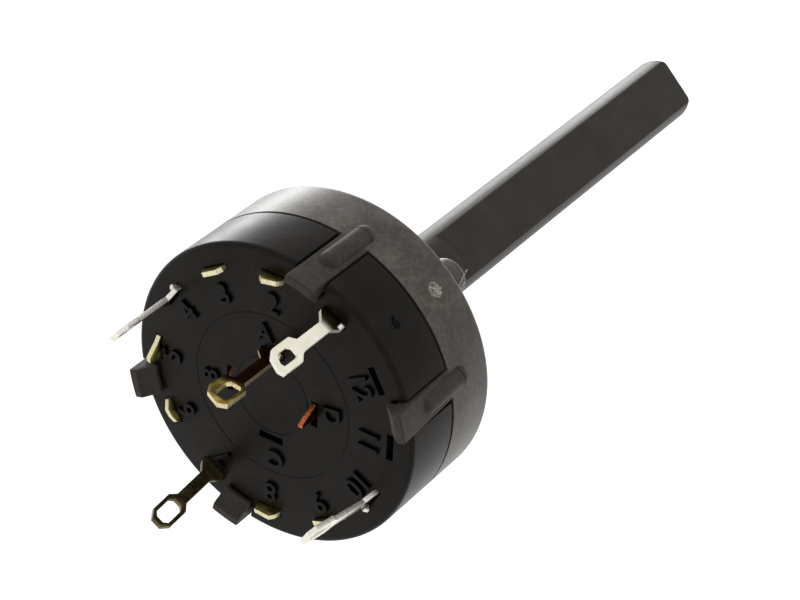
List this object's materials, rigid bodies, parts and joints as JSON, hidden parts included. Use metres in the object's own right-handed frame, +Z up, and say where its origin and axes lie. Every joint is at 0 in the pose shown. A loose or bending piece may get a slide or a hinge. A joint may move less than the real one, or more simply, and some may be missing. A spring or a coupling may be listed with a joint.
{
  "type": "rotary switch",
  "caption": "Round black panel-mount rotary selector switch with a long flatted shaft, a threaded bush, a locating peg and solder lugs on its rear face.",
  "frame": {"origin": "centre of the bush in the plane of the panel seat", "axes": "-Y along the shaft towards the user's knob, +Y towards the terminals, +Z up"},
  "size_m": [0.0268, 0.0698, 0.026],
  "materials": {
    "black_plastic": "satin moulded, slightly scuffed",
    "silver_plate": "bright silver plate on brass sheet",
    "gold_plate": "dull thin gold plate, sheared edges",
    "bronze": "tarnished phosphor bronze",
    "zinc_steel": "zinc plated",
    "polished_steel": "polished",
    "spring_steel": "bright drawn wire"
  },
  "bodies": {
    "housing": {"front_housing": "black_plastic", "terminal_base": "black_plastic", "stop_washer": "zinc_steel", "common_ring": "bronze", "terminal_1": "silver_plate", "terminal_2": "gold_plate", "terminal_3": "gold_plate", "terminal_4": "silver_plate", "terminal_5": "gold_plate", "terminal_6": "gold_plate", "terminal_7": "silver_plate", "terminal_8": "gold_plate", "terminal_9": "gold_plate", "terminal_10": "silver_plate"},
    "spindle": {"spindle": "black_plastic", "moving_contact": "silver_plate", "contact_spring": "spring_steel", "detent_spring": "spring_steel"},
    "ball_1": {"detent_ball_1": "polished_steel"},
    "ball_2": {"detent_ball_2": "polished_steel"}
  },
  "joints": [
    {"name": "spindle_turn", "type": "hinge", "parent": "housing", "child": "spindle", "pos_m": [0, 0, 0], "axis": [0, 1, 0], "range_deg": [0, 270]},
    {"name": "ball_1_press", "type": "slide", "parent": "spindle", "child": "ball_1", "axis": [0.8387, 0, 0.5446], "range_m": [0, 0.0007], "stiffness_N_per_m": 2000, "springref_m": 0.0025, "deforming": ["detent_spring"]},
    {"name": "ball_2_press", "type": "slide", "parent": "spindle", "child": "ball_2", "axis": [-0.8387, 0, -0.5446], "range_m": [0, 0.0007], "stiffness_N_per_m": 2000, "springref_m": 0.0025}
  ]
}
